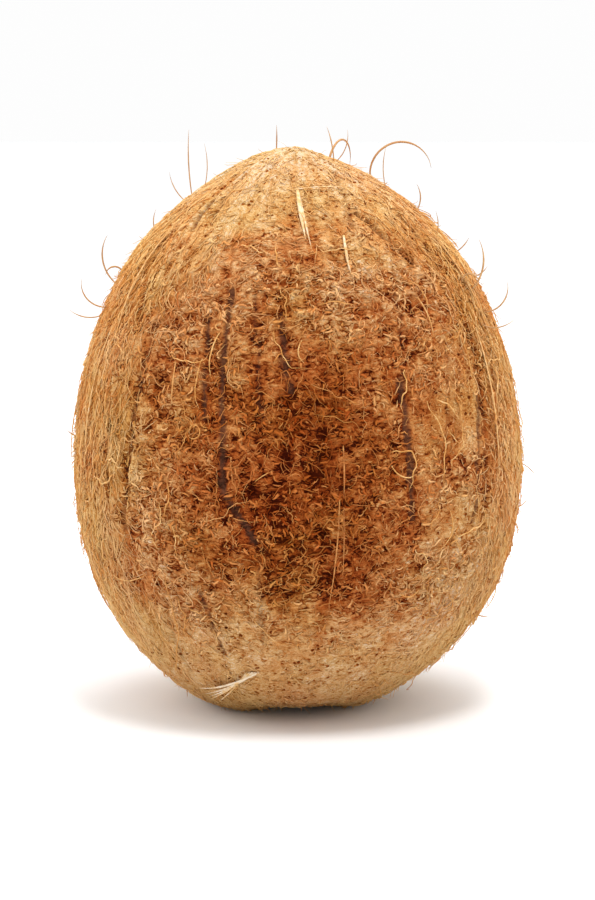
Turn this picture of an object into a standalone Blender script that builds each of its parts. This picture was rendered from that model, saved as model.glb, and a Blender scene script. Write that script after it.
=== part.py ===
"""A whole brown coconut, taken out of its green husk, standing on its blunt end.

One solid in metres, +Z up. The origin is the middle of the footprint of its bounding box, at the
height of the surface that it stands on, and -Y is its front. Azimuths are degrees from the front,
positive towards +X. Like every coconut it grew from three joined carpels, so three soft ridges run
from end to end, and the blunt end carries the three eyes in the hollows between them.
"""

import math

import bmesh
import bpy
import numpy as np

MM = 0.001

# Driving sizes, in millimetres.
HEIGHT = 137.0
GREATEST_RADIUS = 54.9

# The egg's outline, as shares of the height and of the greatest radius, from tip to blunt end.
# It runs a little under the ground at the blunt end, where the nut is worn flat.
OUTLINE = (
    (1.000, 0.000),
    (0.988, 0.130),
    (0.957, 0.300),
    (0.903, 0.502),
    (0.830, 0.690),
    (0.730, 0.843),
    (0.600, 0.950),
    (0.450, 1.000),
    (0.310, 0.968),
    (0.190, 0.852),
    (0.093, 0.672),
    (0.028, 0.475),
    (-0.002, 0.285),
    (-0.010, 0.000),
)

# The three ridges. The nut is a little three-sided, with a low rounded crest along each corner, and
# these are shares of its radius.
FIRST_RIDGE_AZIMUTH = -55.0
RIDGE_COUNT = 3
LOBE_SHARE = 0.014
CREST_SHARE = 0.016
CREST_WIDTH_DEGREES = 11.0
BETWEEN_CRESTS_SHARE = 0.005

# Both ends lean a little to the same side over their last stretch.
TIP_LEAN = 1.4
TIP_LEAN_HEIGHT = 9.0
BASE_LEAN = 2.0
BASE_LEAN_HEIGHT = 30.0

# The hollow in the blunt end. It reaches the rim between the ridges, so the nut stands on three
# flat lobes, one under each ridge. Only the lowest stretch of the nut can be hollowed.
BLUNT_END_HEIGHT = 14.0
HOLLOW_DEPTH = 1.4
HOLLOW_RADIUS_AT_RIDGE = 9.5
HOLLOW_RADIUS_BETWEEN = 17.0
HOLLOW_EDGE = 3.0
EYE_DISTANCE = 7.2
EYE_RADIUS = 3.4
EYE_DEPTH = 1.4

# The mesh: segments round the nut and rings along it, which are closer together at both ends.
SEGMENTS = 72
RINGS = 64
CROWDING_AT_ENDS = 0.72
CURVE_SAMPLES_PER_SPAN = 40

HUSK_BROWN = (0.33, 0.15, 0.055, 1.0)
HUSK_ROUGHNESS = 0.92


def clear_scene():
    for old in list(bpy.data.objects):
        bpy.data.objects.remove(old)


def smooth_step(value):
    t = np.clip(value, 0.0, 1.0)
    return t * t * (3.0 - 2.0 * t)


def smooth_outline():
    """The outline as close points on a smooth curve, with how far along it each point lies."""
    points = np.array(OUTLINE) * (HEIGHT, GREATEST_RADIUS)
    # The curve passes level over both ends, so it is carried on to the other side of the axis.
    before, after = points[1] * (1, -1), points[-2] * (1, -1)
    points = np.vstack([before, points, after])
    t = np.linspace(0.0, 1.0, CURVE_SAMPLES_PER_SPAN, endpoint=False)[:, None]
    spans = []
    for a, b, c, d in zip(points, points[1:], points[2:], points[3:]):
        bend = 2 * a - 5 * b + 4 * c - d
        twist = 3 * b - a - 3 * c + d
        spans.append(b + 0.5 * ((c - a) * t + bend * t**2 + twist * t**3))
    curve = np.vstack([*spans, points[-2:-1]])
    steps = np.linalg.norm(np.diff(curve, axis=0), axis=1)
    along = np.concatenate([[0.0], np.cumsum(steps)])
    return curve, along / along[-1]


def from_nearest_ridge(azimuth):
    """Degrees from each azimuth to the nearest ridge, from -60 to 60."""
    spacing = 360.0 / RIDGE_COUNT
    return (azimuth - FIRST_RIDGE_AZIMUTH + spacing / 2) % spacing - spacing / 2


def ridge_swell(azimuth):
    """How much the radius is multiplied by, for the rounded lobes and the crests along them."""
    off = from_nearest_ridge(azimuth)
    lobe = np.cos(np.radians(RIDGE_COUNT * off))
    crest = np.exp(-((off / CREST_WIDTH_DEGREES) ** 2))
    return 1.0 + LOBE_SHARE * lobe + CREST_SHARE * crest - BETWEEN_CRESTS_SHARE


def hollow_height(radius, azimuth):
    """How far the blunt end is hollowed upwards, with the three eyes pressed in further."""
    between = 0.5 - 0.5 * np.cos(np.radians(RIDGE_COUNT * from_nearest_ridge(azimuth)))
    edge = HOLLOW_RADIUS_AT_RIDGE + (HOLLOW_RADIUS_BETWEEN - HOLLOW_RADIUS_AT_RIDGE) * between
    hollow = HOLLOW_DEPTH * smooth_step((edge - radius) / HOLLOW_EDGE)
    half_spacing = 180.0 / RIDGE_COUNT
    off_eye = np.radians(half_spacing - np.abs(from_nearest_ridge(azimuth)))
    from_eye = np.sqrt(radius**2 + EYE_DISTANCE**2 - 2 * radius * EYE_DISTANCE * np.cos(off_eye))
    return hollow + EYE_DEPTH * smooth_step(2.0 * (1.0 - from_eye / EYE_RADIUS))


def nut_points(directions):
    """The nut's surface, in millimetres, for points of a unit sphere."""
    curve, along = smooth_outline()
    polar = np.arccos(np.clip(directions[:, 2], -1.0, 1.0)) / math.pi
    share = polar - CROWDING_AT_ENDS * np.sin(2 * math.pi * polar) / (2 * math.pi)
    height = np.interp(share, along, curve[:, 0])
    radius = np.maximum(np.interp(share, along, curve[:, 1]), 0.0)
    around = np.arctan2(directions[:, 0], -directions[:, 1])
    azimuth = np.degrees(around)
    radius = radius * ridge_swell(azimuth)
    flat = np.maximum(height, 0.0)
    flat = np.where(height < BLUNT_END_HEIGHT, flat + hollow_height(radius, azimuth), flat)
    lean = TIP_LEAN * smooth_step(1.0 - (HEIGHT - height) / TIP_LEAN_HEIGHT)
    lean = lean + BASE_LEAN * smooth_step(1.0 - height / BASE_LEAN_HEIGHT)
    return np.stack([radius * np.sin(around) - lean, -radius * np.cos(around), flat], axis=1)


def build_nut():
    shape = bmesh.new()
    bmesh.ops.create_uvsphere(shape, u_segments=SEGMENTS, v_segments=RINGS, radius=1.0)
    places = nut_points(np.array([v.co[:] for v in shape.verts]))
    middle = (places.min(axis=0) + places.max(axis=0)) / 2
    places[:, :2] -= middle[:2]
    for vert, place in zip(shape.verts, places):
        vert.co = place * MM
    bmesh.ops.recalc_face_normals(shape, faces=shape.faces)
    mesh = bpy.data.meshes.new("coconut")
    shape.to_mesh(mesh)
    shape.free()
    mesh.shade_smooth()
    return bpy.data.objects.new("coconut", mesh)


def husk_material():
    material = bpy.data.materials.new("coir_brown")
    material.use_nodes = True
    shader = material.node_tree.nodes["Principled BSDF"]
    shader.inputs["Base Color"].default_value = HUSK_BROWN
    shader.inputs["Roughness"].default_value = HUSK_ROUGHNESS
    shader.inputs["Metallic"].default_value = 0.0
    return material


clear_scene()
collection = bpy.data.collections.new("coconut")
bpy.context.scene.collection.children.link(collection)
nut = build_nut()
nut.data.materials.append(husk_material())
collection.objects.link(nut)
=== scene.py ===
"""A brown coconut out of its green husk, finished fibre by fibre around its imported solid."""

import math

import bmesh
import bpy
import numpy as np
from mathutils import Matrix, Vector
from mathutils.bvhtree import BVHTree


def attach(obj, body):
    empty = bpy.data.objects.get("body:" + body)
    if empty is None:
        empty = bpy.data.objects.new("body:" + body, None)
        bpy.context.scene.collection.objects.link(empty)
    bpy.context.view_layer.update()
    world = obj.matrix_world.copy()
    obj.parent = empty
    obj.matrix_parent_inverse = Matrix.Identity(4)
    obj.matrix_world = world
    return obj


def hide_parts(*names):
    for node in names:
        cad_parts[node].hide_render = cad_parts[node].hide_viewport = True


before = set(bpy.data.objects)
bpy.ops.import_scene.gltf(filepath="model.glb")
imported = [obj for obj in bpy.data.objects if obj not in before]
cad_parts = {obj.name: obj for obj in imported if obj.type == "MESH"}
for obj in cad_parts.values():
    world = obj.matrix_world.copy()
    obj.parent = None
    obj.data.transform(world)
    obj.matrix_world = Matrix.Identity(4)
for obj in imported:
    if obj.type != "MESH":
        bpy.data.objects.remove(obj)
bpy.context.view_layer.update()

# ---------------------------------------------------------------------------------------------
# The studio: a white floor that runs out of sight, a white room that is brightest overhead, and
# four soft boxes. The front of the room is the darkest, so the nut's face is lit from above.
# ---------------------------------------------------------------------------------------------
MM = 0.001
CAMERA_DISTANCE = 620 * MM
CAMERA_ELEVATION = math.radians(9.0)
CAMERA_AIM = Vector((0.0, 0.0, 62.6 * MM))
CAMERA_LENS = 100.0
WHITE = (1.0, 1.0, 1.0, 1.0)
BACKDROP_WHITE = 0.985
FRONT_LIGHT = 0.30
BACK_LIGHT = 0.85
OVERHEAD_LIGHT = 0.80
FLOOR_SIZE = 8.0
FLOOR_COLOUR = (0.91, 0.93, 0.94, 1.0)
# Each soft box: its name, place, size and power.
SOFT_BOXES = (
    ("overhead", (0.10, -0.33, 0.82), 0.22, 3.5),
    ("rear", (0.05, 0.30, 0.80), 0.40, 2.4),
    ("left", (-0.75, 0.10, 0.35), 0.40, 1.8),
    ("right", (0.75, 0.10, 0.35), 0.40, 0.4),
)

bpy.context.scene.view_settings.view_transform = "Standard"

camera = bpy.data.objects.new("camera", bpy.data.cameras.new("camera"))
camera.data.lens = CAMERA_LENS
camera.data.clip_end = 2 * FLOOR_SIZE
bpy.context.scene.collection.objects.link(camera)
away = Vector((0.0, -math.cos(CAMERA_ELEVATION), math.sin(CAMERA_ELEVATION)))
camera.location = CAMERA_AIM + CAMERA_DISTANCE * away
camera.rotation_euler = away.to_track_quat("Z", "Y").to_euler()
bpy.context.scene.camera = camera


class Wire:
    """A socket of a node tree. Sums on it add their Math or Vector Math nodes to the same tree."""

    def __init__(self, tree, socket=None):
        self.tree = tree
        self.socket = socket

    def node(self, kind, settings=None, inputs=None, out=0):
        """Adds a node, with its settings first and then its sockets, and returns one output."""
        node = self.tree.nodes.new(kind)
        for name, value in (settings or {}).items():
            if name == "stops":
                ramp = node.color_ramp.elements
                while len(ramp) < len(value):
                    ramp.new(1.0)
                for stop, (place, colour) in zip(ramp, value):
                    stop.position = place
                    stop.color = (*colour, 1.0)
            else:
                setattr(node, name, value)
        for name, value in (inputs or {}).items():
            if isinstance(value, Wire):
                self.tree.links.new(value.socket, node.inputs[name])
            else:
                node.inputs[name].default_value = value
        return Wire(self.tree, node.outputs[out] if len(node.outputs) else None)

    def maths(self, operation, *others):
        """A Math node, or a Vector Math node if any of the values is a vector."""
        values = (self, *others)
        vectors = [isinstance(value, Wire) and value.socket.type == "VECTOR" for value in values]
        if not any(vectors):
            return self.node("ShaderNodeMath", {"operation": operation}, dict(enumerate(values)))
        if operation == "MULTIPLY" and not all(vectors):
            vector, number = values if vectors[0] else values[::-1]
            inputs = {"Vector": vector, "Scale": number}
            return self.node("ShaderNodeVectorMath", {"operation": "SCALE"}, inputs)
        return self.node("ShaderNodeVectorMath", {"operation": operation}, dict(enumerate(values)))

    def __add__(self, other):
        return self.maths("ADD", other)

    __radd__ = __add__

    def __sub__(self, other):
        return self.maths("SUBTRACT", other)

    def __rsub__(self, other):
        return self.maths("MULTIPLY", -1.0).maths("ADD", other)

    def __mul__(self, other):
        return self.maths("MULTIPLY", other)

    __rmul__ = __mul__

    def __truediv__(self, other):
        return self.maths("DIVIDE", other)

    def __pow__(self, power):
        return self.maths("POWER", power)

    def clamped(self, low=0.0, high=1.0):
        return self.maths("MAXIMUM", low).maths("MINIMUM", high)


world = bpy.data.worlds.new("white_room")
world.use_nodes = True
world.node_tree.nodes.clear()
bpy.context.scene.world = world
room = Wire(world.node_tree)
direction = room.node("ShaderNodeTexCoord", out="Generated")
rearwards = room.node("ShaderNodeSeparateXYZ", inputs={0: direction}, out="Y")
upwards = room.node("ShaderNodeSeparateXYZ", inputs={0: direction}, out="Z").clamped()
room_light = (rearwards * 0.5 + 0.5) * (BACK_LIGHT - FRONT_LIGHT) + FRONT_LIGHT
room_light = room_light + upwards * OVERHEAD_LIGHT
seen = room.node("ShaderNodeLightPath", out="Is Camera Ray")
strength = seen * BACKDROP_WHITE + (1.0 - seen) * room_light
backdrop = room.node("ShaderNodeBackground", inputs={"Color": WHITE, "Strength": strength})
room.node("ShaderNodeOutputWorld", inputs={"Surface": backdrop})

for name, place, size, power in SOFT_BOXES:
    name = "soft_box_" + name
    lamp = bpy.data.objects.new(name, bpy.data.lights.new(name, "AREA"))
    lamp.data.size = size
    lamp.data.energy = power
    lamp.location = place
    lamp.rotation_euler = (Vector(place) - CAMERA_AIM).to_track_quat("Z", "Y").to_euler()
    bpy.context.scene.collection.objects.link(lamp)


def new_material(name):
    """An empty node material, as a wire to build from and the material itself."""
    material = bpy.data.materials.new(name)
    material.use_nodes = True
    material.node_tree.nodes.clear()
    return Wire(material.node_tree), material


def finish_material(start, inputs):
    """Ends a material with its Principled shader."""
    shader = start.node("ShaderNodeBsdfPrincipled", inputs=inputs)
    start.node("ShaderNodeOutputMaterial", inputs={"Surface": shader})


def as_piece(name, mesh):
    piece = bpy.data.objects.new(name, mesh)
    bpy.context.scene.collection.objects.link(piece)
    return piece


sheet = bmesh.new()
bmesh.ops.create_grid(sheet, x_segments=1, y_segments=1, size=FLOOR_SIZE / 2)
floor_mesh = bpy.data.meshes.new("floor")
sheet.to_mesh(floor_mesh)
sheet.free()
floor = as_piece("floor", floor_mesh)
paint, floor_white = new_material("floor_white")
floor_look = {
    "Base Color": FLOOR_COLOUR,
    "Roughness": 1.0,
    "Specular IOR Level": 0.0,
}
finish_material(paint, floor_look)
floor_mesh.materials.append(floor_white)

# ---------------------------------------------------------------------------------------------
# The skin: the felt of short coir and pith that still covers the hard shell when the green husk
# has been torn off. It grew there. It is lumpy where it is felted, and furrowed from end to end
# where the fibres were combed flat, and a few smooth ribs of bark show in the gaps.
# ---------------------------------------------------------------------------------------------
VOXEL = 0.84 * MM
NUT_MIDDLE = 60.0
NUT_RADIUS = 55.0
MERGE_DISTANCE = 0.001 * MM
CLOUD_CELLS = 48
CLOUD_START = 1000.0


def smooth_step(low, high, value):
    t = np.clip((value - low) / (high - low), 0.0, 1.0)
    return t * t * (3.0 - 2.0 * t)


def cloud(places, size, seed):
    """Smooth noise from -1 to 1 at these places, with lumps of about this size."""
    lattice = np.random.default_rng(seed).uniform(-1, 1, (CLOUD_CELLS,) * 3)
    at = places / size + CLOUD_START
    low = np.floor(at).astype(int)
    share = at - low
    share = share * share * (3 - 2 * share)
    total = 0.0
    for corner in np.ndindex(2, 2, 2):
        index = (low + corner) % CLOUD_CELLS
        weight = np.prod(np.where(corner, share, 1 - share), axis=1)
        total = total + weight * lattice[index[:, 0], index[:, 1], index[:, 2]]
    return total


def read(items, name, width=3, kind=np.float32):
    """One row of numbers for each of a mesh's vertices, corners or faces."""
    found = np.empty(len(items) * width, kind)
    items.foreach_get(name, found)
    return found.reshape(-1, width).astype(float)


def evaluated(piece):
    """The piece's mesh with its modifiers worked out, which are then removed."""
    bpy.context.view_layer.update()
    graph = bpy.context.evaluated_depsgraph_get()
    mesh = bpy.data.meshes.new_from_object(piece.evaluated_get(graph), depsgraph=graph)
    piece.modifiers.clear()
    return mesh


def even_copy(node):
    """The CAD node's loose triangles, merged and remade as an even net of small squares."""
    solid = bmesh.new()
    solid.from_mesh(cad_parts[node].data)
    bmesh.ops.remove_doubles(solid, verts=solid.verts, dist=MERGE_DISTANCE)
    mesh = bpy.data.meshes.new("merged")
    solid.to_mesh(mesh)
    solid.free()
    helper = as_piece("helper", mesh)
    remesh = helper.modifiers.new("even", "REMESH")
    remesh.mode = "VOXEL"
    remesh.voxel_size = VOXEL
    remesh.adaptivity = 0.0
    remesh.use_smooth_shade = True
    even = evaluated(helper)
    bpy.data.objects.remove(helper)
    return even


skin_mesh = even_copy("coconut")
skin_mesh.name = "husk_skin"
skin_mesh.materials.clear()
smooth_nut = BVHTree.FromPolygons(
    [v.co[:] for v in skin_mesh.vertices], [p.vertices[:] for p in skin_mesh.polygons]
)


def spot(azimuth, height, lift=0.0):
    """The place on the nut at this azimuth and height, raised by the lift, and the way out."""
    turn = math.radians(azimuth)
    outwards = Vector((math.sin(turn), -math.cos(turn), 0.0))
    place, normal, _, _ = smooth_nut.ray_cast(Vector((0, 0, height * MM)), outwards)
    if normal.dot(outwards) < 0:
        normal = -normal
    return place + normal * lift * MM, normal


places = read(skin_mesh.vertices, "co") / MM
normals = read(skin_mesh.vertices, "normal")
azimuth = np.degrees(np.arctan2(places[:, 0], -places[:, 1]))
height = places[:, 2]
from_middle = places - (0, 0, NUT_MIDDLE)
polar = np.degrees(np.arccos(from_middle[:, 2] / np.linalg.norm(from_middle, axis=1)))

warp = cloud(places, 16, 1) + 0.5 * cloud(places, 6, 2)


def inside(middle, reach, full=0.8, none=1.15):
    """How far each place is inside a patch round this azimuth and height, from 0 to 1."""
    aside = (azimuth + 6 * warp - middle[0] + 180.0) % 360.0 - 180.0
    off = np.hypot(aside / reach[0], (height - middle[1]) / reach[1])
    return smooth_step(none, full, off)


def spread_over(patches):
    """How far each place is inside any of these patches, from 0 to the patch's strength."""
    shares = [strength * inside(middle, reach) for middle, reach, strength in patches]
    return np.max(shares, axis=0)


# How dark to pale the coir is, from 0 to 1. It is pale on the flanks and bleached at the tip, and
# both are partly painted light from the sides and from overhead. Each shade is an azimuth and a
# height in its middle, how far it reaches each way and how strong it is: the nut's three felted
# faces are darker, partly redder coir and partly painted shade, and its lower flanks and the brow
# below the tip are a little paler. Azimuths are in degrees from the front, and heights in
# millimetres.
FLANK_TONE = 0.70
TIP_PALER = 0.16
TIP_PALEST = (114, 136)
FOOT_TONE = 0.77
FOOT_SHARE = 0.85
FOOT_TOP = 40
SHADE_FULL = 0.15
SHADE_NONE = 1.3
SHADES = (
    ((2, 66), (40, 42), -0.34),
    ((3, 82), (17, 13), -0.09),
    ((12, 103), (42, 13), 0.06),
    ((150, 63), (55, 50), -0.41),
    ((-128, 60), (46, 52), -0.40),
    ((-52, 34), (34, 34), 0.10),
    ((40, 44), (28, 36), 0.08),
)
# Partly painted light: the paler flanks and tip. Partly painted shade: the darker felted faces.
tone = FLANK_TONE + TIP_PALER * smooth_step(*TIP_PALEST, height)
for middle, reach, strength in SHADES:
    tone = tone + strength * inside(middle, reach, SHADE_FULL, SHADE_NONE)
ragged = height + 4 * warp
tone = tone + (FOOT_TONE - tone) * FOOT_SHARE * smooth_step(FOOT_TOP, 16, ragged)
mottle = 0.3 + 0.7 * smooth_step(14, FOOT_TOP, height)
tone = tone + mottle * (0.06 * cloud(places, 9, 4) + 0.05 * cloud(places, 3, 5))
rust = 0.5 + 0.45 * cloud(places, 13, 21) + 0.25 * cloud(places, 5, 22)

# Where the coir is felted rather than combed flat along the nut, written as the shades are.
FELTED = (
    ((5, 66), (52, 62), 1.0),
    ((128, 72), (46, 50), 0.9),
    ((-118, 58), (34, 44), 0.8),
)
felt = spread_over(FELTED)

# Where the pith is worn smooth, with only small pits and few fibres: all round the foot, on the
# very tip and in patches on the flanks, written as the shades are.
WORN = (
    ((44, 72), (11, 26), 0.75),
    ((-86, 60), (12, 24), 0.5),
    ((160, 60), (14, 26), 0.7),
    ((-160, 88), (12, 22), 0.6),
    ((88, 84), (10, 20), 0.5),
)
WORN_FOOT = 0.80
WORN_TIP = 0.78
worn = spread_over(WORN) * smooth_step(-0.5, 0.1, cloud(places, 9, 20))
worn = np.maximum(worn, WORN_FOOT * smooth_step(FOOT_TOP, 20, ragged))
worn = np.maximum(worn, WORN_TIP * smooth_step(106, 124, height + 3 * warp))

# The furrows and bare ribs that run down the nut: the azimuth and height where each starts, the
# same where it ends, its width, its depth and how bare its floor is. More lie round the back, by
# dice.
FURROWS = (
    ((-26, 100), (-23, 78), 1.0, 0.35, 0.8),
    ((-20, 106), (-18, 62), 1.4, 0.55, 0.9),
    ((-19, 63), (-10, 50), 1.4, 0.60, 0.9),
    ((-5, 101), (-2, 84), 1.4, 0.45, 0.8),
    ((-12, 105), (-9, 78), 0.9, 0.30, 0.4),
    ((-26, 38), (-23, 21), 0.9, 0.30, 0.8),
    ((-9, 46), (-10, 25), 0.9, 0.25, 0.4),
    ((27, 86), (29, 54), 1.5, 0.55, 0.9),
    ((31, 106), (28, 86), 1.0, 0.40, 0.4),
    ((52, 81), (48, 52), 1.2, 0.35, 0.7),
    ((45, 97), (36, 58), 1.2, 0.45, 0.2),
    ((55, 96), (51, 47), 1.5, 0.70, 0.3),
    ((29, 123), (42, 111), 1.0, 0.90, 0.6),
    ((52, 122), (53, 110), 1.1, 0.80, 0.5),
    ((32, 132), (22, 119), 1.0, 0.70, 0.3),
    ((-54, 132), (-46, 119), 1.1, 0.90, 0.7),
    ((-47, 131), (-39, 121), 1.0, 0.80, 0.5),
    ((-58, 116), (-47, 96), 1.2, 0.80, 0.5),
    ((-42, 98), (-46, 50), 1.5, 0.85, 0.5),
    ((-52, 75), (-51, 52), 1.2, 0.60, 0.3),
    ((-37, 34), (-40, 14), 0.9, 0.35, 0.3),
)
BACK_FURROWS = 16
BACK_START = 75.0
BACK_REACH = 210.0
FURROW_DICE = 23
FURROW_STEPS = 6
dice = np.random.default_rng(FURROW_DICE)
all_furrows = list(FURROWS)
for number in range(BACK_FURROWS):
    share = (number + dice.uniform(-0.3, 0.3)) / BACK_FURROWS
    start = (BACK_START + BACK_REACH * share, dice.uniform(60, 125))
    end = (start[0] + dice.uniform(-4, 4), start[1] - dice.uniform(14, 42))
    sizes = (dice.uniform(0.9, 1.6), dice.uniform(0.35, 0.80), dice.uniform(0.2, 0.9))
    all_furrows.append((start, end, *sizes))


def distance_to(start, end, places):
    """How far each place is from a line over the nut between two of its places, in millimetres."""
    nearest = np.full(len(places), np.inf)
    shares = np.linspace(0, 1, FURROW_STEPS + 1)[:, None]
    steps = np.array(start) * (1 - shares) + np.array(end) * shares
    points = [np.array(spot(*step)[0]) / MM for step in steps]
    for start, end in zip(points, points[1:]):
        run = end - start
        share = np.clip((places - start) @ run / (run @ run), 0.0, 1.0)
        off = places - start - share[:, None] * run
        nearest = np.minimum(nearest, np.linalg.norm(off, axis=1))
    return nearest


wander = 0.6 * np.stack([cloud(places, 5, seed) for seed in (6, 7, 8)], axis=1)
bare = np.zeros(len(places))
clear = np.zeros(len(places))
sunk = np.zeros(len(places))
for start, end, width, depth, bareness in all_furrows:
    gap = distance_to(start, end, places + wander) / (width / 2)
    edge = smooth_step(1.35, 0.75, gap)
    bare = np.maximum(bare, bareness * edge)
    clear = np.maximum(clear, bareness * smooth_step(2.6, 1.4, gap))
    sunk = np.maximum(sunk, depth * smooth_step(1.8, 0.4, gap))

# Places on a strip that is stretched along the nut, so that clouds on it become lengthwise streaks.
STREAK_SHARE = 0.13
FURROW_SHARE = 0.05
turn = np.radians(azimuth)
along = np.radians(polar) * NUT_RADIUS
round_nut = np.stack([np.sin(turn), -np.cos(turn)], axis=1) * NUT_RADIUS
streak_place = np.column_stack([round_nut, along * STREAK_SHARE])
furrow_place = np.column_stack([round_nut, along * FURROW_SHARE])

lumps = 0.45 * cloud(places, 3.4, 11) + 0.6 * cloud(places * (1, 1, 1.5), 2.0, 12)
streaks = 0.55 * cloud(streak_place, 1.7, 13) + 0.45 * cloud(streak_place, 3.4, 14)
furrows = cloud(furrow_place, 3.2, 19)

# The relief, in millimetres: lumps in the felt, streaks on the combed flanks, and the furrows.
LUMP_HEIGHT = 1.05
relief = LUMP_HEIGHT * felt * lumps * (1 - 0.6 * worn) + (0.14 + 0.30 * (1 - felt)) * streaks
relief = relief + 0.35 * cloud(places, 13, 15) + 0.28 * furrows
# Painted shade and light: the coir is darker in the low places of the lumps, streaks and lengthwise
# furrows, and paler on their raised places.
painted_furrow_shading = 0.09 * furrows * (1 - 0.5 * felt)
tone = tone + mottle * (painted_furrow_shading + 0.05 * streaks + 0.13 * lumps * felt)
foot = smooth_step(2.0, 9.0, height)
relief = relief * (0.25 + 0.75 * foot) - sunk
places = places + normals * relief[:, None]

# A notch in the rim of the foot, wide and shallow, where the nut doesn't quite touch the floor.
NOTCH_MIDDLE = 3.0
NOTCH_REACH = 46.0
NOTCH_RISE = 1.9
NOTCH_TOP = 7.0
notch = smooth_step(NOTCH_REACH, NOTCH_REACH / 3, np.abs(azimuth - NOTCH_MIDDLE))
places[:, 2] += NOTCH_RISE * notch * smooth_step(NOTCH_TOP, 0.0, height)
places[:, 2] = np.maximum(places[:, 2], 0.0)
skin_mesh.vertices.foreach_set("co", (places * MM).ravel())
skin_mesh.update()

# The grain: the way that fibres lie at each point, down the nut on the flanks and up to 70 degrees
# across it in the felt.
FELT_SWING = 70
FLANK_SWING = 10
down = -np.array([0.0, 0.0, 1.0]) + normals * normals[:, 2:3]
down = down / np.maximum(np.linalg.norm(down, axis=1), 1e-6)[:, None]
across = np.cross(normals, down)
swing = FELT_SWING * felt * (0.6 + 0.6 * cloud(places, 11, 16))
swing = np.radians(swing + FLANK_SWING * cloud(places, 8, 17))
grain = down * np.cos(swing)[:, None] + across * np.sin(swing)[:, None]


def store(mesh, name, values):
    """Keeps a number or a vector for every vertex of a mesh."""
    values = np.asarray(values, np.float32)
    kind, field = ("FLOAT", "value") if values.ndim == 1 else ("FLOAT_VECTOR", "vector")
    mesh.attributes.new(name, kind, "POINT").data.foreach_set(field, values.ravel())


store(skin_mesh, "tone", tone)
store(skin_mesh, "rust", np.clip(rust - 0.05 + 0.50 * felt - 0.15 * worn, 0, 1))
store(skin_mesh, "felt", felt)
store(skin_mesh, "bare", bare)
store(skin_mesh, "relief", relief)
store(skin_mesh, "grain", grain)
store(skin_mesh, "streak_place", streak_place)
store(skin_mesh, "worn", worn)

# How thickly each kind of fibre grows, how unlike its neighbours it is, how far it strays from the
# grain, and how long it is.
covered = (1 - clear) * (1 - 0.8 * worn)
clump = smooth_step(0.0, 0.5, cloud(places, 8, 18)) * smooth_step(122, 100, height)
tuft = smooth_step(-0.35, 0.45, cloud(places, 4.5, 24) + 0.35 * lumps)
curly = (0.25 + 1.1 * clump) * (1.2 - 0.55 * felt) * foot
middle_height = smooth_step(12, FOOT_TOP, height) * smooth_step(135, 105, height)
store(skin_mesh, "fuzz_cover", covered)
store(skin_mesh, "curl_cover", curly * (0.12 + covered))
store(skin_mesh, "felt_cover", (0.30 + 0.70 * felt) * covered * (0.30 + 0.95 * tuft))
store(skin_mesh, "flake_cover", (0.15 + 0.85 * felt) * covered * (0.45 + 0.75 * tuft))
store(skin_mesh, "comb_cover", (1.0 - 0.80 * felt) * covered)
store(skin_mesh, "contrast", 0.55 + 0.45 * middle_height)
store(skin_mesh, "unruly", 0.16 + 0.84 * felt)
store(skin_mesh, "stretch", 0.55 + 0.45 * smooth_step(8, 34, height))

# Coir's own colours, from dark and rusty in the thick of it to pale straw where light and wear
# have bleached it. The rusty stops are for the redder fibres, and the straw ones for the yellower.
RUSTY = (
    (0.0, (0.070, 0.007, 0.001)),
    (0.2, (0.270, 0.043, 0.006)),
    (0.4, (0.460, 0.115, 0.023)),
    (0.6, (0.610, 0.235, 0.068)),
    (0.8, (0.750, 0.420, 0.180)),
    (1.0, (0.870, 0.700, 0.540)),
)
STRAW = (
    (0.0, (0.080, 0.013, 0.001)),
    (0.2, (0.280, 0.066, 0.007)),
    (0.4, (0.470, 0.160, 0.027)),
    (0.6, (0.620, 0.300, 0.078)),
    (0.8, (0.750, 0.475, 0.190)),
    (1.0, (0.870, 0.730, 0.530)),
)
BARK = (0.140, 0.055, 0.030)
PALEST_PITH = 0.92
DRY = 0.85
BUMP_HEIGHT = 0.9 * MM


def mixed(share, first, second):
    """A colour part of the way from the first, which is a wire, to the second."""
    second = second if isinstance(second, Wire) else (*second, 1.0)
    inputs = {0: share, 6: first, 7: second}
    return first.node("ShaderNodeMix", {"data_type": "RGBA"}, inputs, out=2)


def coir_colour(tone, rust):
    """Coir that is this pale and this rusty."""
    rusty = tone.node("ShaderNodeValToRGB", {"stops": RUSTY}, {0: tone})
    straw = tone.node("ShaderNodeValToRGB", {"stops": STRAW}, {0: tone})
    return mixed(rust, straw, rusty)


def kept(start, name, out="Fac"):
    """What store kept for the surface under this name."""
    return start.node("ShaderNodeAttribute", {"attribute_name": name}, out=out)


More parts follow.
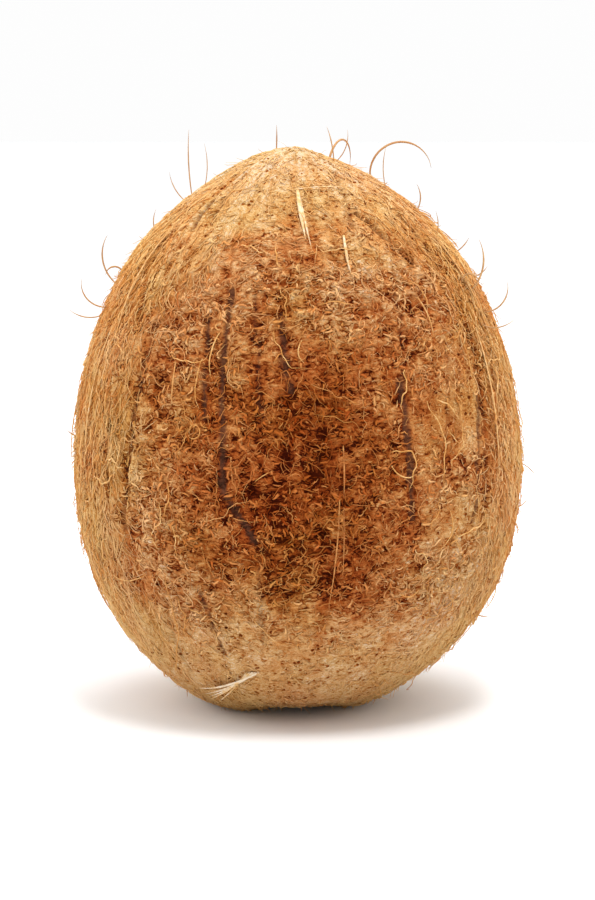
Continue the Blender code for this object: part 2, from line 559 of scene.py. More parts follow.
def skin_material():
    start, material = new_material("coir_felt")
    place = start.node("ShaderNodeTexCoord", out="Object")

    def noise(scale, where, detail=2.0, roughness=0.55):
        inputs = {"Vector": where, "Scale": scale, "Detail": detail, "Roughness": roughness}
        return start.node("ShaderNodeTexNoise", inputs=inputs)

    def pebbles(where, scale, feature="F1"):
        inputs = {"Vector": where, "Scale": scale}
        return start.node("ShaderNodeTexVoronoi", {"feature": feature}, inputs)

    flattened = place * start.node("ShaderNodeCombineXYZ", inputs={0: 1.0, 1: 1.0, 2: 1.8})
    felt = kept(start, "felt")
    worn = kept(start, "worn")
    crumbs = noise(620.0, flattened, 4.0, 0.62)
    streak = noise(1.1, kept(start, "streak_place", "Vector"), 4.0, 0.6)
    broken = noise(300.0, place, 2.0, 0.5)

    # Short cracks between crumbs of pith, twisted so that they don't look like tiles, and pores.
    # Both are sunk by the bump and darkened as painted shade.
    inputs = {"Vector": place, "Scale": 420.0, "Detail": 3.0}
    twist = start.node("ShaderNodeTexNoise", inputs=inputs, out="Color")
    inputs = {"Vector": twist, "Scale": 3.6 * MM}
    bent = flattened + start.node("ShaderNodeVectorMath", {"operation": "SCALE"}, inputs)
    gap = pebbles(bent, 480.0, "DISTANCE_TO_EDGE")
    cracks = (1.0 - gap * 7.5).clamped() * (broken * 8.0 - 3.7).clamped() * (1.0 - worn * 0.8)
    pores = ((0.30 - pebbles(place, 640.0)) * 12.0).clamped()
    pores = pores * (broken * 9.0 - 4.0).clamped() * worn

    # The fine relief: crumbs in the felt and where it is worn, and streaks on the combed flanks.
    fine = felt * crumbs + (1.0 - felt) * (streak * 0.6 + crumbs * 0.4)
    fine = worn * crumbs + (1.0 - worn) * fine
    grit = noise(1900.0, flattened, 3.0, 0.7) - 0.5
    # The low places of the fine relief are sunk by the bump and also darkened as painted shade; its
    # high places are lightened as a painted highlight.
    pits = ((0.47 - worn * 0.06 - fine) * 8.0).clamped()
    painted_tuft_highlight = ((fine - 0.52) * 7.0).clamped() * (1.0 - worn * 0.6)
    # Painted shade in the low places of the relief, and a little painted light on its high places.
    painted_hollow_shading = (kept(start, "relief") * -1.0).clamped(-0.3, 0.8)

    # Painted shade: the skin is darker where fibres lie over it, and less so where it is worn.
    painted_shade_under_fibres = (1.0 - worn) * (0.06 + felt * 0.04)
    shade = kept(start, "tone") - painted_shade_under_fibres - pits * 0.36 + painted_tuft_highlight * 0.18
    shade = shade - painted_hollow_shading * (0.28 - worn * 0.20)
    # Painted shade in the cracks and pores.
    shade = shade - cracks * 0.46 - pores * 0.62
    shade = shade + grit * (0.40 + worn * 0.45)
    colour = coir_colour(shade.clamped(0.0, PALEST_PITH), kept(start, "rust"))
    colour = mixed((kept(start, "bare") * 0.95).clamped(), colour, BARK)
    height = fine * (2.0 - worn * 1.2) - pits * 0.35 + grit * (0.3 + worn * 0.5)
    height = height - cracks * 0.7 - pores * 0.6
    bump = {"Strength": 1.0, "Distance": BUMP_HEIGHT, "Height": height}
    inputs = {
        "Base Color": colour,
        "Roughness": DRY,
        "Specular IOR Level": 0.04,
        "Normal": start.node("ShaderNodeBump", inputs=bump),
    }
    finish_material(start, inputs)
    return material


DISC = 0.47


def map_halves(mesh, polar, azimuth):
    """Spreads the nut's upper and lower halves side by side on a map, as two discs."""
    corners = read(mesh.loops, "vertex_index", 1, np.int32)[:, 0].astype(int)
    counts = read(mesh.polygons, "loop_total", 1, np.int32)[:, 0].astype(int)
    of_face = np.repeat(np.arange(len(counts)), counts)
    middle = np.bincount(of_face, polar[corners]) / counts
    lower = (middle > 90.0)[of_face]
    out = np.where(lower, 180.0 - polar[corners], polar[corners]) / 90.0
    turn = np.radians(azimuth[corners])
    across = np.where(lower, 0.75, 0.25) + DISC / 2 * out * np.sin(turn)
    up = 0.5 + DISC * out * np.cos(turn)
    chart = mesh.uv_layers.new(name="OFBake")
    chart.data.foreach_set("uv", np.column_stack([across, up]).astype(np.float32).ravel())


map_halves(skin_mesh, polar, azimuth)
skin_mesh.materials.append(skin_material())
skin = as_piece("husk_skin", skin_mesh)
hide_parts("coconut")
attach(skin, "root")

# ---------------------------------------------------------------------------------------------
# The felt: short curly fibres of coir, matted over the skin every way round, most thickly on the
# nut's three faces. Each is a hair a fifth of a millimetre thick, rooted in the skin.
# ---------------------------------------------------------------------------------------------
SIDES = 3
TAPER = 0.72
MAP_MARGIN = 0.04
MAP_SPREAD = 1.0 - 2 * MAP_MARGIN
MAP_PATCH = 0.006
PALEST = 0.80
ABOVE_FLOOR = 0.25 * MM
GOLDEN_TONE = 0.62


def fibre_tree():
    """Roots fibres all over a skin, bends each into its curl and lays it over the relief."""
    tree = bpy.data.node_groups.new("fibres", "GeometryNodeTree")
    tree.interface.new_socket("Geometry", in_out="OUTPUT", socket_type="NodeSocketGeometry")
    asked = {
        "Geometry": "NodeSocketGeometry",
        "Facing": "NodeSocketVector",
        "Facing limit": "NodeSocketFloat",
        "Lowest": "NodeSocketFloat",
        "Highest": "NodeSocketFloat",
        "Cover": "NodeSocketString",
        "Density": "NodeSocketFloat",
        "Seed": "NodeSocketInt",
        "Joints": "NodeSocketInt",
        "Length": "NodeSocketFloat",
        "Length spread": "NodeSocketFloat",
        "Aim spread": "NodeSocketFloat",
        "Thickness": "NodeSocketFloat",
        "Flatness": "NodeSocketFloat",
        "Curl": "NodeSocketFloat",
        "Wave": "NodeSocketFloat",
        "Waves": "NodeSocketFloat",
        "Arch": "NodeSocketFloat",
        "Tip lift": "NodeSocketFloat",
        "Tone shift": "NodeSocketFloat",
        "Golden": "NodeSocketFloat",
        "Tone spread": "NodeSocketFloat",
        "Material": "NodeSocketMaterial",
    }
    for name, kind in asked.items():
        tree.interface.new_socket(name, in_out="INPUT", socket_type=kind)
    inputs = tree.nodes.new("NodeGroupInput").outputs
    start = Wire(tree)
    ask = {name: Wire(tree, inputs[name]) for name in asked}

    def draw(low, high, salt):
        """A random number for each fibre, which the salt keeps apart from its other ones."""
        seed = ask["Seed"] + salt
        return start.node("FunctionNodeRandomValue", None, {2: low, 3: high, "Seed": seed}, out=1)

    def saved(name, kind="FLOAT"):
        return start.node("GeometryNodeInputNamedAttribute", {"data_type": kind}, {"Name": name})

    def save(geometry, name, value, kind="FLOAT", domain="POINT"):
        settings = {"data_type": kind, "domain": domain}
        inputs = {"Geometry": geometry, "Name": name, "Value": value}
        return start.node("GeometryNodeStoreNamedAttribute", settings, inputs)

    def vectors(operation, *values, out=0):
        settings = {"operation": operation}
        return start.node("ShaderNodeVectorMath", settings, dict(enumerate(values)), out)

    def triple(x, y, z):
        return start.node("ShaderNodeCombineXYZ", None, {0: x, 1: y, 2: z})

    def one_of(vector, axis):
        return start.node("ShaderNodeSeparateXYZ", None, {0: vector}, out=axis)

    # The roots, thick or thin on the ground as the cover says, on the stretch that is asked for.
    place = start.node("GeometryNodeInputPosition")
    up = one_of(place, "Z")
    facing = vectors("NORMALIZE", place * triple(1.0, 1.0, 0.0))
    facing = vectors("DOT_PRODUCT", facing, ask["Facing"], out="Value")
    chosen = facing.maths("GREATER_THAN", ask["Facing limit"])
    chosen = chosen * up.maths("GREATER_THAN", ask["Lowest"])
    chosen = chosen * up.maths("LESS_THAN", ask["Highest"]) * saved(ask["Cover"])
    density = ask["Density"] * chosen
    spread = {"Mesh": ask["Geometry"], "Density": density, "Seed": ask["Seed"]}
    settings = {"distribute_method": "RANDOM"}
    roots = start.node("GeometryNodeDistributePointsOnFaces", settings, spread)
    out = Wire(tree, roots.socket.node.outputs["Normal"])

    # What each root keeps for its fibre: where it points, and its length, curl, tone and thickness.
    turn = draw(-1.0, 1.0, 1) * ask["Aim spread"] * saved("unruly")
    inputs = {"Vector": saved("grain", "FLOAT_VECTOR"), "Axis": out, "Angle": turn}
    aim = start.node("ShaderNodeVectorRotate", {"rotation_type": "AXIS_ANGLE"}, inputs)
    side = vectors("NORMALIZE", vectors("CROSS_PRODUCT", out, aim))
    aim = vectors("NORMALIZE", vectors("CROSS_PRODUCT", side, out))
    long = ask["Length"] * (1.0 + ask["Length spread"] * draw(-1.0, 1.0, 2)) * saved("stretch")
    roots = save(roots, "fibre_root", place, "FLOAT_VECTOR")
    roots = save(roots, "fibre_aim", aim, "FLOAT_VECTOR")
    roots = save(roots, "fibre_side", side, "FLOAT_VECTOR")
    roots = save(roots, "fibre_long", long)
    roots = save(roots, "fibre_curl", ask["Curl"] * draw(-1.0, 1.0, 3) + 0.001)
    roots = save(roots, "fibre_phase", draw(0.0, 2 * math.pi, 4))
    # Each fibre starts from the skin's tone at its root, so it carries the skin's painted light and
    # shade.
    fibre_tone = saved("tone") * (1.0 - ask["Golden"]) + ask["Golden"] * GOLDEN_TONE
    varied = ask["Tone spread"] * saved("contrast") * draw(-1.0, 0.7, 5)
    roots = save(roots, "fibre_tone", fibre_tone + ask["Tone shift"] + varied)
    roots = save(roots, "fibre_rust", saved("rust") + draw(-0.3, 0.3, 6))
    roots = save(roots, "fibre_thick", ask["Thickness"] * draw(0.65, 1.35, 7))
    roots = save(roots, "fibre_rise", draw(0.25, 1.0, 8))

    # A straight line on each root, which is then bent into its curl and laid over the skin.
    line = start.node("GeometryNodeCurvePrimitiveLine", None, {"End": (1.0, 0.0, 0.0)})
    line = start.node("GeometryNodeResampleCurve", None, {"Curve": line, "Count": ask["Joints"]})
    line = save(line, "fibre_at", start.node("GeometryNodeSplineParameter", out="Factor"))
    fibres = start.node("GeometryNodeInstanceOnPoints", None, {"Points": roots, "Instance": line})
    fibres = start.node("GeometryNodeRealizeInstances", None, {"Geometry": fibres})

    at, curl, long = saved("fibre_at"), saved("fibre_curl"), saved("fibre_long")
    forwards = long * (curl * at).maths("SINE") / curl
    wave = (saved("fibre_phase") + at * ask["Waves"] * (2 * math.pi)).maths("SINE")
    sideways = long * (1.0 - (curl * at).maths("COSINE")) / curl + long * ask["Wave"] * wave * at
    laid = saved("fibre_root", "FLOAT_VECTOR") + saved("fibre_aim", "FLOAT_VECTOR") * forwards
    laid = laid + saved("fibre_side", "FLOAT_VECTOR") * sideways

    def on_skin(value):
        settings = {"data_type": "FLOAT_VECTOR"}
        inputs = {"Mesh": ask["Geometry"], "Value": value, "Sample Position": laid}
        return start.node("GeometryNodeSampleNearestSurface", settings, inputs)

    skin_normal = start.node("GeometryNodeInputNormal")
    rise = ask["Arch"] * (at * math.pi).maths("SINE") + ask["Tip lift"] * at * at
    rise = rise * saved("fibre_rise") + saved("fibre_thick") * 0.4
    laid = on_skin(place) + on_skin(skin_normal) * rise
    raised = triple(0.0, 0.0, (ABOVE_FLOOR - one_of(laid, "Z")).clamped(0.0, 1.0))
    inputs = {"Geometry": fibres, "Position": laid + raised}
    fibres = start.node("GeometryNodeSetPosition", None, inputs)
    inputs = {"Curve": fibres, "Normal": on_skin(skin_normal)}
    fibres = start.node("GeometryNodeSetCurveNormal", {"mode": "FREE"}, inputs)

    # A ring swept along it, pressed flat against the skin where it is a flake, tapers to its tip.
    taper = saved("fibre_thick") * (1.0 - at * at * TAPER)
    inputs = {"Resolution": SIDES, "Radius": 1.0}
    ring = start.node("GeometryNodeCurvePrimitiveCircle", None, inputs)
    ring = save(ring, "fibre_ring", place, "FLOAT_VECTOR")
    inputs = {"Geometry": ring, "Scale": triple(ask["Flatness"], 1.0, 1.0)}
    ring = start.node("GeometryNodeTransform", None, inputs)
    swept = {"Curve": fibres, "Profile Curve": ring, "Scale": taper, "Fill Caps": True}
    hair = start.node("GeometryNodeCurveToMesh", None, swept)

    # Its place on the map is its tone from left to right and its rust upwards, on a small patch.
    ringed = saved("fibre_ring", "FLOAT_VECTOR")
    patch_u = (one_of(ringed, "X") + at * 3.0) * MAP_PATCH
    patch_v = one_of(ringed, "Y") * MAP_PATCH
    u = saved("fibre_tone").clamped(0.0, PALEST) * MAP_SPREAD + MAP_MARGIN + patch_u
    v = saved("fibre_rust").clamped() * MAP_SPREAD + MAP_MARGIN + patch_v
    hair = save(hair, "OFBake", triple(u, v, 0.0), "FLOAT2", "CORNER")
    inputs = {"Geometry": hair, "Shade Smooth": True}
    hair = start.node("GeometryNodeSetShadeSmooth", None, inputs)
    hair = start.node("GeometryNodeRealizeInstances", None, {"Geometry": hair})
    inputs = {"Geometry": hair, "Material": ask["Material"]}
    hair = start.node("GeometryNodeSetMaterial", None, inputs)
    start.node("NodeGroupOutput", None, {"Geometry": hair})
    return tree


fibres = fibre_tree()


def hair_material(name):
    """Coir whose map says how pale each fibre is, from left to right, and how rusty, upwards."""
    start, material = new_material(name)
    place = start.node("ShaderNodeUVMap", {"uv_map": "OFBake"})
    across = start.node("ShaderNodeSeparateXYZ", inputs={0: place}, out="X")
    up = start.node("ShaderNodeSeparateXYZ", inputs={0: place}, out="Y")
    tone = (across - MAP_MARGIN) / MAP_SPREAD
    rust = (up - MAP_MARGIN) / MAP_SPREAD
    inputs = {
        "Base Color": coir_colour(tone.clamped(), rust.clamped()),
        "Roughness": DRY,
        "Specular IOR Level": 0.0,
    }
    finish_material(start, inputs)
    return material


hair = hair_material("coir_hair")


def keep_only_map(mesh):
    """Drops what the node tree stored on the way, and keeps the map."""
    for name in [a.name for a in mesh.attributes]:
        found = mesh.attributes.get(name)
        if found and not found.is_required and not found.is_internal and name != "OFBake":
            mesh.attributes.remove(found)


ALL_ROUND = 180.0
THIRD = 60.0
ANY_WAY = -2.0
FAR = 1.0


def grow(name, settings, facing=0.0, half_width=ALL_ROUND, lowest=-FAR, highest=FAR):
    """One piece of fibres, on the part of the skin that faces this azimuth between two heights."""
    piece = as_piece(name, skin_mesh)
    growth = piece.modifiers.new("fibres", "NODES")
    growth.node_group = fibres
    items = [item for item in fibres.interface.items_tree if item.in_out == "INPUT"]
    sockets = {item.name: item.identifier for item in items}
    turn = math.radians(facing)
    limit = math.cos(math.radians(half_width)) if half_width < ALL_ROUND else ANY_WAY
    asked = {
        "Facing": (math.sin(turn), -math.cos(turn), 0.0),
        "Facing limit": limit,
        "Lowest": lowest,
        "Highest": highest,
        "Material": hair,
        **settings,
    }
    for socket, value in asked.items():
        growth[sockets[socket]] = value
    mesh = evaluated(piece)
    bpy.data.objects.remove(piece)
    mesh.name = name
    keep_only_map(mesh)
    piece = as_piece(name, mesh)
    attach(piece, "root")


FELT = {
    "Cover": "felt_cover",
    "Density": 0.56e6,
    "Joints": 4,
    "Length": 1.25 * MM,
    "Length spread": 0.65,
    "Aim spread": 2.6,
    "Thickness": 0.18 * MM,
    "Flatness": 1.0,
    "Curl": 2.4,
    "Wave": 0.08,
    "Waves": 1.0,
    "Arch": 0.26 * MM,
    "Tip lift": 0.05 * MM,
    "Tone shift": 0.02,
    "Golden": 0.0,
    "Tone spread": 0.27,
}
FELT_FACES = (("front", 5.0), ("right", 125.0), ("left", -115.0))
FELT_LEVELS = (("low", -FAR, NUT_MIDDLE * MM), ("high", NUT_MIDDLE * MM, FAR))
SEED_STEP = 17
seed = 100
for side_name, facing in FELT_FACES:
    for level_name, *heights in FELT_LEVELS:
        seed += SEED_STEP
        name = f"felt_{side_name}_{level_name}"
        grow(name, {**FELT, "Seed": seed}, facing, THIRD, *heights)

# ---------------------------------------------------------------------------------------------
# The pith flakes: crumbs of the corky pith that hold the coir together, torn up with it. Each is a
# thin flake a millimetre or two long, stuck down at one end and curled up at the other.
# ---------------------------------------------------------------------------------------------
FLAKES = {
    **FELT,
    "Cover": "flake_cover",
    "Density": 2.6e5,
    "Length": 1.6 * MM,
    "Aim spread": 3.1,
    "Thickness": 0.34 * MM,
    "Flatness": 0.30,
    "Curl": 2.2,
    "Arch": 0.25 * MM,
    "Tip lift": 0.35 * MM,
    "Tone shift": 0.0,
    "Tone spread": 0.15,
}
grow("pith_flakes", {**FLAKES, "Seed": 251})

# ---------------------------------------------------------------------------------------------
# The combed fibres: longer, straighter coir that lies from end to end along the nut's ridges and
# flanks, where the husk was pulled away along it.
# ---------------------------------------------------------------------------------------------
RIDGES = (-55.0, 65.0, 185.0)
COMBED = {
    **FELT,
    "Cover": "comb_cover",
    "Density": 0.72e6,
    "Joints": 5,
    "Length": 4.0 * MM,
    "Length spread": 0.7,
    "Aim spread": 1.9,
    "Thickness": 0.14 * MM,
    "Curl": 1.7,
    "Wave": 0.05,
    "Waves": 1.2,
    "Arch": 0.30 * MM,
    "Tip lift": 0.15 * MM,
    "Tone shift": 0.01,
    "Tone spread": 0.22,
}
for number, facing in enumerate(RIDGES):
    settings = {**COMBED, "Seed": 300 + SEED_STEP * number}
    grow(f"combed_ridge_{number + 1}", settings, facing, THIRD)

# ---------------------------------------------------------------------------------------------
# The loose strands: pale, bleached fibres torn half free. Some are tight curls on the faces, some
# are long threads down the flanks, and a fine fuzz stands off the whole nut.
# ---------------------------------------------------------------------------------------------
CURLS = {
    "Cover": "curl_cover",
    "Density": 3.4e4,
    "Joints": 12,
    "Length": 4.2 * MM,
    "Length spread": 0.65,
    "Aim spread": 3.1,
    "Thickness": 0.17 * MM,
    "Flatness": 1.0,
    "Curl": 4.6,
    "Wave": 0.14,
    "Waves": 2.2,
    "Arch": 0.8 * MM,
    "Tip lift": 0.6 * MM,
    "Tone shift": 0.02,
    "Golden": 0.55,
    "Tone spread": 0.12,
}
THREADS = {
    **CURLS,
    "Density": 1.1e4,
    "Joints": 14,
    "Length": 11.0 * MM,
    "Aim spread": 1.2,
    "Thickness": 0.125 * MM,
    "Curl": 1.4,
    "Wave": 0.06,
    "Waves": 2.8,
    "Arch": 0.6 * MM,
}
FUZZ = {
    **CURLS,
    "Cover": "fuzz_cover",
    "Density": 1.1e5,
    "Joints": 6,
    "Length": 2.6 * MM,
    "Thickness": 0.09 * MM,
    "Curl": 2.0,
    "Wave": 0.03,
    "Waves": 1.0,
    "Arch": 0.5 * MM,
    "Tip lift": 2.1 * MM,
    "Golden": 0.35,
}
grow("loose_curls", {**CURLS, "Seed": 401})
grow("loose_threads", {**THREADS, "Seed": 402})
grow("fuzz", {**FUZZ, "Seed": 403})

# ---------------------------------------------------------------------------------------------
# The bast strips: flat pale ribbons of the husk's inner layer that stayed on the nut, and the
# longer strands that split from them. Each lies on the felt and is held by the fibres round it.
# ---------------------------------------------------------------------------------------------
JOINTS = 12
STEPS_EACH = 2
RING = 6
ANGLES = np.arange(RING) / RING * 2 * math.pi
ON_SKIN = 0.2
ROOT_SIZE = 0.75
TIP_SIZE = 0.15
SWELL = 4.0
NARROWING = 2.2
SLOW_KINKS = 9.0
FAST_KINKS = 25.0


def trail(azimuth, height, heading, length, bend, lift=0.6, tip=0.0, sway=0.0):
    """Points over the nut from one of its places. The heading is 0 down the nut and 90 degrees to
    the right, and bends on the way. The lift is how far the middle stands off, the tip its end."""
    place, out = spot(azimuth, height)
    points = []
    for share in np.arange(JOINTS + 1) / JOINTS:
        rise = ON_SKIN + lift * math.sin(math.pi * share) + tip * share * share
        points.append(place + out * rise * MM)
        kinks = math.sin(SLOW_KINKS * share) + 0.8 * math.sin(FAST_KINKS * share + length)
        way = math.radians(heading + bend * share + sway * kinks)
        down = (out * out.z - Vector((0, 0, 1))).normalized()
        step = down * math.cos(way) + out.cross(down) * math.sin(way)
        place, out, _, _ = smooth_nut.find_nearest(place + step * length / JOINTS * MM)
    return points


def smooth_path(points):
    """A smooth line through these points, as rows of numbers."""
    points = np.array(points)
    ends = np.vstack([2 * points[0] - points[1], points, 2 * points[-1] - points[-2]])
    found = []
    for before, start, end, after in zip(ends, ends[1:], ends[2:], ends[3:]):
        for t in np.arange(STEPS_EACH) / STEPS_EACH:
            pull = (end - before) * t + (2 * before - 5 * start + 4 * end - after) * t**2
            found.append(start + 0.5 * (pull + (3 * start - before - 3 * end + after) * t**3))
    return np.vstack([*found, points[-1]])


def swept(path, width, thickness):
    """Rings of points round a path, as a flattened strand that tapers to its tip."""
    along = np.gradient(path, axis=0)
    along /= np.linalg.norm(along, axis=1)[:, None]
    outwards = path[0] - (0, 0, NUT_MIDDLE * MM)
    side = np.cross(along[0], outwards)
    if np.linalg.norm(side) < 1e-6:
        side = np.cross(along[0], (0, 0, 1.0))
    rings = []
    share = np.linspace(0, 1, len(path))
    root = ROOT_SIZE + SWELL * share * (1 - ROOT_SIZE)
    full = np.minimum(1.0, np.minimum(root, TIP_SIZE + NARROWING * (1 - share)))
    for place, forward, size in zip(path, along, full):
        side = side - forward * (side @ forward)
        side /= np.linalg.norm(side)
        top = np.cross(side, forward)
        ring = np.outer(np.cos(ANGLES), side * width) + np.outer(np.sin(ANGLES), top * thickness)
        rings.append(place + ring * size / 2 * MM)
    return np.array(rings)


MAP_EDGE = 0.03
MAP_GAP = 0.05
CAP_WIDTH = 0.04


def shrunk(share, edge):
    """A share of a strip of the map, kept this far in from both its ends."""
    return edge + (1 - 2 * edge) * share


def bundle(name, material, strands):
    """One piece of listed strands. Each is its tone, width, thickness and points."""
    mesh = bmesh.new()
    map_layer = mesh.loops.layers.uv.new("OFBake")
    tone_layer = mesh.verts.layers.float.new("tone")
    tall = 1.0 / len(strands)
    cap = 0.5 + 0.5 * np.column_stack([np.cos(ANGLES), np.sin(ANGLES)])

    def panel(corners, chart, lowest):
        face = mesh.faces.new(corners)
        face.smooth = True
        for loop, (u, v) in zip(face.loops, chart):
            loop[map_layer].uv = (shrunk(u, MAP_EDGE), lowest + tall * shrunk(v, MAP_GAP))

    for number, (tone, width, thickness, points) in enumerate(strands):
        rings = swept(smooth_path(points), width, thickness)
        rings[:, :, 2] = np.maximum(rings[:, :, 2], 0.0)
        rows = [[mesh.verts.new(point) for point in ring] for ring in rings]
        for vertex in (v for row in rows for v in row):
            vertex[tone_layer] = tone
        lowest = number * tall
        last = len(rows) - 1
        for step in range(last):
            start, end = rows[step : step + 2]
            near, far = (shrunk((step + more) / last, MAP_GAP) for more in (0, 1))
            for k in range(RING):
                after = (k + 1) % RING
                low, high = k / RING, (k + 1) / RING
                chart = ((near, low), (far, low), (far, high), (near, high))
                panel((start[k], end[k], end[after], start[after]), chart, lowest)
        panel(rows[0], cap * (CAP_WIDTH, 1.0), lowest)
        panel(rows[-1][::-1], cap * (CAP_WIDTH, 1.0) + (1.0 - CAP_WIDTH, 0.0), lowest)
    bmesh.ops.recalc_face_normals(mesh, faces=mesh.faces)
    built = bpy.data.meshes.new(name)
    mesh.to_mesh(built)
    mesh.free()
    built.materials.append(material)
    piece = as_piece(name, built)
    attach(piece, "root")


DULL = (0.40, 0.26, 0.16)


def strand_material(name, dulled, rustiness):
    """Coir that keeps its strand's own tone, with paler and darker lengths along it."""
    start, material = new_material(name)
    place = start.node("ShaderNodeTexCoord", out="Object")
    inputs = {"Vector": place, "Scale": 700.0, "Detail": 3.0}
    mottle = start.node("ShaderNodeTexNoise", inputs=inputs)
    tone = kept(start, "tone") + (mottle - 0.5) * 0.7
    colour = coir_colour(tone.clamped(), (mottle * rustiness).clamped())
    inputs = {
        "Base Color": mixed(dulled, colour, DULL),
        "Roughness": 0.65,
        "Specular IOR Level": 0.12,
    }
    finish_material(start, inputs)
    return material


bast = strand_material("bast", 0.12, 0.5)
COPIES = (0, 120, -120)
STRIP_THICKNESS = 0.22
# Each strip: the azimuth and height of its upper end, its heading, length, bend, width and tone.
STRIPS = (
    (0, 128, 2, 17, 6, 1.00, 0.84),
    (1, 127, 4, 18, 6, 0.50, 0.84),
    (18, 118, -10, 10, 14, 0.70, 0.84),
    (18, 117, -14, 11, 30, 0.40, 0.82),
    (-2, 128, 92, 13, 4, 0.45, 0.84),
    (11, 72, 0, 12, 0, 0.42, 0.42),
    (10, 61, -2, 28, -4, 0.36, 0.46),
    (11, 58, 0, 17, 2, 0.26, 0.42),
    (62, 118, 2, 34, 4, 0.60, 0.68),
    (-62, 96, -2, 38, 4, 0.60, 0.72),
    (-33, 90, 6, 12, -8, 0.40, 0.58),
    (38, 104, 14, 10, -10, 0.45, 0.62),
)
# The tuft of bast that frays from one root on the foot: the headings of its strands, of which each
# is a little shorter, narrower and darker than the last, and stands a little further off.
TUFT_ROOT = (-13, 16)
TUFT_HEADINGS = (-58, -51, -47, -43, -35)
TUFT_LENGTH = 19.0
TUFT_BEND = -14
TUFT_LIFT = 0.9
TUFT_THICKNESS = 0.30
strips = []
for turn in COPIES:
    for azimuth, height, heading, length, bend, width, tone in STRIPS:
        points = trail(azimuth + turn, height, heading, length, bend)
        strips.append((tone, width, STRIP_THICKNESS, points))
    for number, heading in enumerate(TUFT_HEADINGS):
        azimuth = TUFT_ROOT[0] + turn - number
        length = TUFT_LENGTH * (1.0 - 0.06 * number)
        tip = 1.0 + 0.4 * number
        points = trail(azimuth, TUFT_ROOT[1], heading, length, TUFT_BEND, TUFT_LIFT, tip)
        strips.append((0.97 - 0.03 * number, 0.85 - 0.12 * number, TUFT_THICKNESS, points))
bundle("bast_strips", bast, strips)

# ---------------------------------------------------------------------------------------------
# The stray hairs: single long fibres that spring clear of the nut's outline, most of them round
# the tip and down the left side. Each is rooted in the felt and curls as it dried.
# ---------------------------------------------------------------------------------------------
ROOT_DEPTH = 0.4
ASIDE = 0.3
HAIR_FLATNESS = 0.85


def sprung(azimuth, height, lean, length, bend):
    """Points of a hair that springs off the nut. It leans towards the tip from straight out, and
    then bends further towards the tip, or outwards if the bend is negative."""
    place, out = spot(azimuth, height)
    down = (out * out.z - Vector((0, 0, 1))).normalized()
    right = out.cross(down)
    points = [place - out * ROOT_DEPTH * MM]
    for share in np.arange(JOINTS) / (JOINTS - 1):
        way = math.radians(lean + bend * share)
        step = out * math.cos(way) - down * math.sin(way) + right * (ASIDE * (share - 0.3))
        points.append(points[-1] + step.normalized() * length / JOINTS * MM)
    return points


dry = strand_material("dry_hair", 0.45, 0.35)
# Each hair: the azimuth and height of its root, its lean, length, bend, tone and thickness.
HAIRS = (
    (-88, 125, 28, 17, 14, 0.62, 0.36),
    (-90, 124, -14, 9, 46, 0.64, 0.30),
    (-84, 127, 50, 12, -30, 0.62, 0.28),
    (-86, 104, 10, 14, 80, 0.64, 0.50),
    (-88, 106, 60, 7, -170, 0.64, 0.58),
    (-82, 99, -25, 11, 100, 0.66, 0.46),
    (-88, 97, -50, 10, 70, 0.66, 0.40),
    (-80, 117, 30, 6, 40, 0.64, 0.28),
    (62, 134, 22, 9, 24, 0.60, 0.38),
    (66, 134, -30, 9, 60, 0.60, 0.30),
    (88, 130, 30, 24, -165, 0.60, 0.62),
    (90, 122, 10, 7, 60, 0.62, 0.38),
    (88, 112, -5, 5, 30, 0.58, 0.38),
    (87, 106, -20, 5, 50, 0.60, 0.38),
    (89, 60, -20, 7, -40, 0.62, 0.34),
    (90, 48, 10, 5, 60, 0.62, 0.34),
    (-90, 66, 0, 4, 50, 0.62, 0.34),
    (89, 22, -10, 6, 60, 0.62, 0.42),
)
# All of them once, and some of them again, turned this far round the nut.
LAID_HAIRS = ((0, HAIRS), (66, HAIRS[10:]), (-72, HAIRS[3:8]), (150, HAIRS[2:9]))
hairs = []
for turn, rows in LAID_HAIRS:
    for azimuth, height, lean, length, bend, tone, thickness in rows:
        points = sprung(azimuth + turn, height, lean, length, bend)
        hairs.append((tone, thickness, HAIR_FLATNESS * thickness, points))
bundle("stray_hairs", dry, hairs)

# ---------------------------------------------------------------------------------------------
# The golden threads: the thickest of the coir, wavy threads that lie loose on the flanks and round
# the foot. Each is rooted at one end in the felt and droops over the worn pith.
# ---------------------------------------------------------------------------------------------
gold = strand_material("golden_coir", 0.0, 0.4)
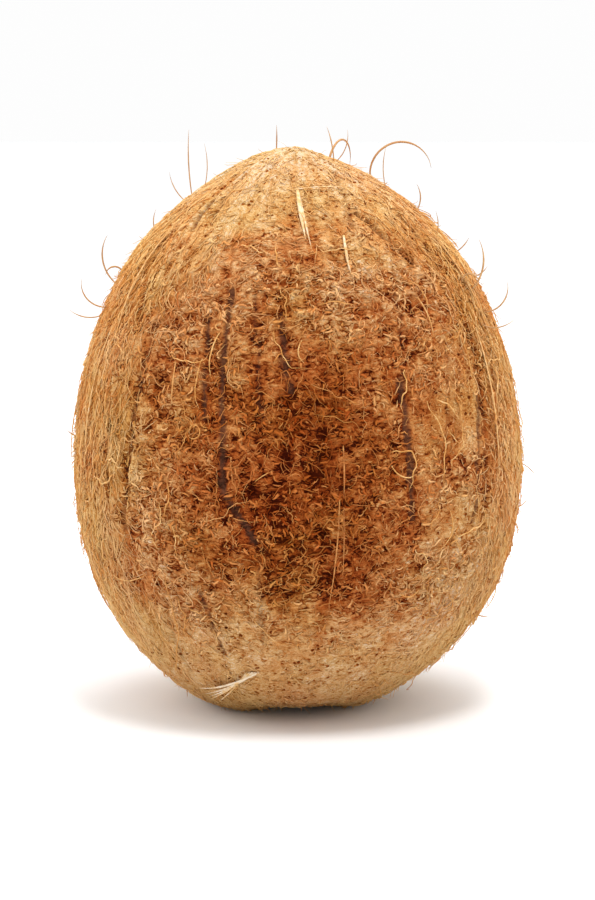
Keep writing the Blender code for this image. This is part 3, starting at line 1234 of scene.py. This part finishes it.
# Each laid thread: the azimuth and height of its root, its heading, length, bend, tip and sway.
LAID = (
    (43, 93, 25, 16, -10, 0.4, 20),
    (42, 84, 10, 12, 0, 0.4, 30),
    (34, 81, 20, 24, -30, 0.4, 14),
    (37, 81, 60, 8, -30, 0.4, 10),
    (23, 70, 90, 15, -150, 0.5, 25),
    (23, 67, 20, 7, 100, 0.5, 0),
    (42, 49, 80, 12, 80, 0.5, 20),
    (-30, 82, 0, 20, 10, 0.4, 40),
    (-27, 75, 150, 9, -330, 0.6, 0),
    (-34, 58, -10, 12, -20, 0.4, 30),
    (-35, 40, 0, 38, -34, 0.6, 10),
    (35, 40, 2, 28, 14, 0.6, 16),
    (-10, 64, 130, 5, -20, 0.6, 0),
    (6, 103, 100, 9, -30, 0.5, 10),
)
# Two more hang free of the foot at the front.
FOOT_LAID = (
    (35, 14, 60, 26, -20, 1.8, 25),
    (27, 13, 35, 14, 20, 2.6, 20),
)
# The rest are scattered by dice over these stretches: how many, and their azimuths and heights.
SCATTERED = (
    (20, (28, 64), (36, 98)),
    (14, (-62, -24), (36, 92)),
    (9, (-48, 56), (96, 124)),
    (6, (-50, 50), (16, 36)),
)
GOLD_COPIES = (0, 121, -119)
THREAD_FLATNESS = 0.8
GOLD_DICE = 31
dice = np.random.default_rng(GOLD_DICE)
laid = list(FOOT_LAID)
for turn in GOLD_COPIES:
    laid += [(azimuth + turn, *rest) for azimuth, *rest in LAID]
    for count, azimuths, heights in SCATTERED:
        for _ in range(count):
            root = (dice.uniform(*azimuths) + turn, dice.uniform(*heights))
            heading, bend = dice.normal(0, 40), dice.normal(0, 70)
            laid.append((*root, heading, dice.uniform(4, 15), bend, 0.5, dice.uniform(0, 40)))
threads = []
for azimuth, height, heading, length, bend, tip, sway in laid:
    width = dice.uniform(0.20, 0.36)
    lift = dice.uniform(0.5, 0.9)
    points = trail(azimuth, height, heading, length, bend, lift, tip, sway)
    threads.append((dice.uniform(0.54, 0.74), width, THREAD_FLATNESS * width, points))
bundle("golden_threads", gold, threads)
